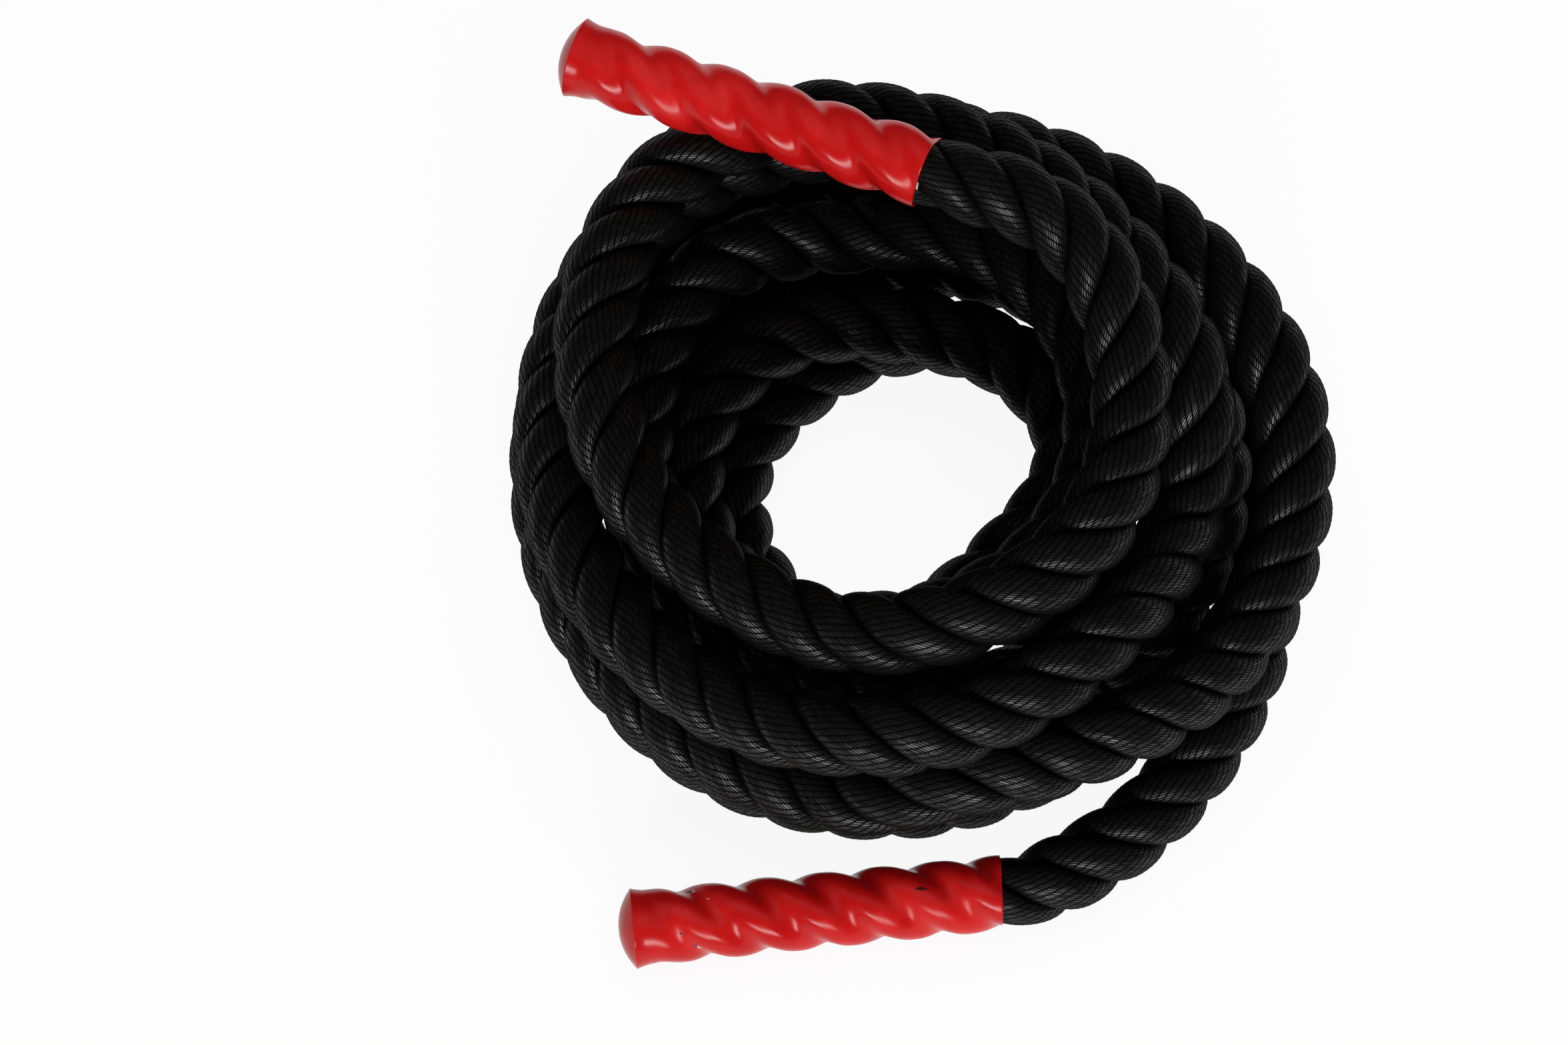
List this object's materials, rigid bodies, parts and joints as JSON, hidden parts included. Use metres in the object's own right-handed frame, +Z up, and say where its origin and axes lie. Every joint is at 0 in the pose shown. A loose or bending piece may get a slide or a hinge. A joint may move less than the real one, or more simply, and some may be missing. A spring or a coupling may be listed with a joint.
{
  "type": "battle rope",
  "caption": "Thick black laid training rope lying in a loose round pile, with a red shrunk sleeve with a domed end on each of its ends as a handle.",
  "frame": {"origin": "on the floor, below the middle of the box round the whole piled rope", "axes": "+Z up, +Y to the back as the picture shows it, across the pile from the sleeve that lies on the floor; +X to the right"},
  "size_m": [0.3878, 0.4222, 0.1967],
  "materials": {
    "rope": "black polyester yarns, slightly shiny, stitched in ribs along each strand",
    "sleeve": "glossy red heat-shrink tube",
    "adhesive": "cloudy hot-melt adhesive",
    "tape": "black tape"
  },
  "bodies": {
    "root": {"rope_coil": "rope", "rope_lead_lower": "rope", "rope_lead_upper": "rope", "lower_strand_end_1": "rope", "lower_strand_end_2": "rope", "lower_strand_end_3": "rope", "upper_strand_end_1": "rope", "upper_strand_end_2": "rope", "upper_strand_end_3": "rope", "lower_sleeve": "sleeve", "upper_sleeve": "sleeve", "lower_adhesive": "adhesive", "upper_adhesive": "adhesive", "lower_end_tape": "tape", "upper_end_tape": "tape"}
  },
  "joints": []
}
